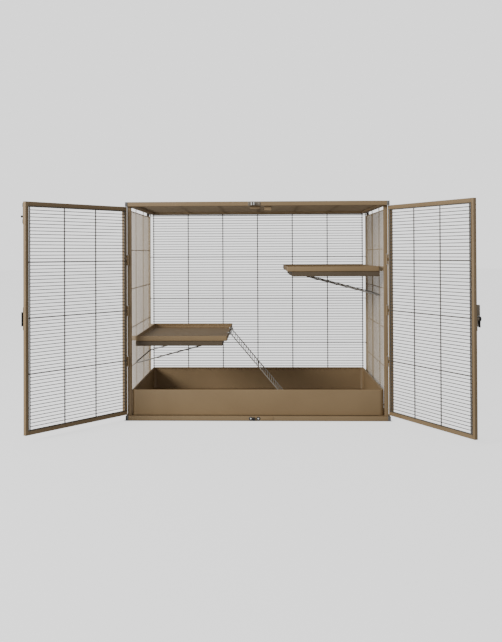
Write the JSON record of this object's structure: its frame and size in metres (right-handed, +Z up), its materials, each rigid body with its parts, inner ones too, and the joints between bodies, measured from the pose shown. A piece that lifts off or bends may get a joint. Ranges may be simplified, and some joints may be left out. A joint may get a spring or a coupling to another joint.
{
  "type": "wire ferret cage",
  "caption": "Free-standing wire pet cage with two full-height front doors, pull-out tray, two shelves and a wire ladder.",
  "frame": {"origin": "middle of the underside of the front bottom rail", "axes": "+X right across the front, +Y to the back of the cage, +Z up"},
  "size_m": [1.4618, 1.053, 0.786],
  "materials": {
    "taupe_tube": "satin powder coat",
    "taupe_wire": "satin powder coat over welded wire",
    "taupe_sheet": "satin powder coat",
    "zinc_hardware": "bright zinc plate",
    "black_plastic": "moulded, matt"
  },
  "bodies": {
    "cage": {"front_top_rail": "taupe_tube", "front_bottom_rail": "taupe_tube", "left_post": "taupe_tube", "right_post": "taupe_tube", "rail_end_plugs": "black_plastic", "left_base_rail": "taupe_tube", "right_base_rail": "taupe_tube", "back_base_rail": "taupe_tube", "tray_runners": "taupe_tube", "left_top_rail": "taupe_tube", "right_top_rail": "taupe_tube", "back_top_rail": "taupe_tube", "back_mesh": "taupe_wire", "left_mesh": "taupe_wire", "right_mesh": "taupe_wire", "roof_mesh": "taupe_wire", "panel_clips": "taupe_wire", "back_corner_joiners": "black_plastic", "door_stop_tabs": "taupe_tube", "bottom_stop_plate": "taupe_tube", "top_keeper_plate": "zinc_hardware", "top_keeper_staple": "zinc_hardware", "top_keeper_screws": "zinc_hardware", "bottom_catch_block": "black_plastic", "bottom_catch_screws": "zinc_hardware", "post_knuckles": "taupe_tube", "hinge_pins": "zinc_hardware", "left_shelf_pan": "taupe_sheet", "left_shelf_frame": "taupe_tube", "left_shelf_strut": "taupe_wire", "right_shelf_pan": "taupe_sheet", "right_shelf_frame": "taupe_tube", "right_shelf_strut": "taupe_wire", "ladder_hooks": "zinc_hardware", "ladder_pivot_bar": "zinc_hardware"},
    "left_door": {"left_door_top_rail": "taupe_tube", "left_door_bottom_rail": "taupe_tube", "left_door_hinge_stile": "taupe_tube", "left_door_free_stile": "taupe_tube", "left_door_mesh": "taupe_wire", "left_door_knuckles": "taupe_tube", "mid_keeper": "zinc_hardware", "mid_keeper_screws": "zinc_hardware", "bolt_base": "zinc_hardware"},
    "bolt": {"bolt_rod": "zinc_hardware", "bolt_knob": "black_plastic"},
    "right_door": {"right_door_top_rail": "taupe_tube", "right_door_bottom_rail": "taupe_tube", "right_door_hinge_stile": "taupe_tube", "right_door_free_stile": "taupe_tube", "right_door_mesh": "taupe_wire", "right_door_knuckles": "taupe_tube", "latch_base": "zinc_hardware", "latch_stud": "zinc_hardware"},
    "latch": {"latch_handle": "black_plastic", "latch_tongue": "zinc_hardware"},
    "tray": {"tray_pan": "taupe_sheet", "tray_rim": "taupe_sheet"},
    "ladder": {"ladder": "taupe_wire", "ladder_eyes": "taupe_wire"}
  },
  "joints": [
    {"name": "left_door_swing", "type": "hinge", "parent": "cage", "child": "left_door", "pos_m": [-0.466, 0.006, 0.393], "axis": [0, 0, -1], "range_deg": [-126, 14]},
    {"name": "right_door_swing", "type": "hinge", "parent": "cage", "child": "right_door", "pos_m": [0.466, 0.006, 0.393], "axis": [0, 0, 1], "range_deg": [-116.5, 23.5]},
    {"name": "tray_slide", "type": "slide", "parent": "cage", "child": "tray", "axis": [0, -1, 0], "range_m": [0, 0.48]},
    {"name": "ladder_swing", "type": "hinge", "parent": "cage", "child": "ladder", "pos_m": [-0.102, 0.276, 0.294], "axis": [0, -1, 0], "range_deg": [0, 47]},
    {"name": "bolt_slide", "type": "slide", "parent": "left_door", "child": "bolt", "axis": [0, 0, 1], "range_m": [0, 0.018]},
    {"name": "latch_turn", "type": "hinge", "parent": "right_door", "child": "latch", "pos_m": [0.682, -0.39137, 0.392], "axis": [-0.8949, -0.4462, 0], "range_deg": [0, 90]}
  ],
  "couplings": [
    {"joint": "ladder_swing", "follows": "tray_slide", "rad_per_m": 1.6581}
  ]
}
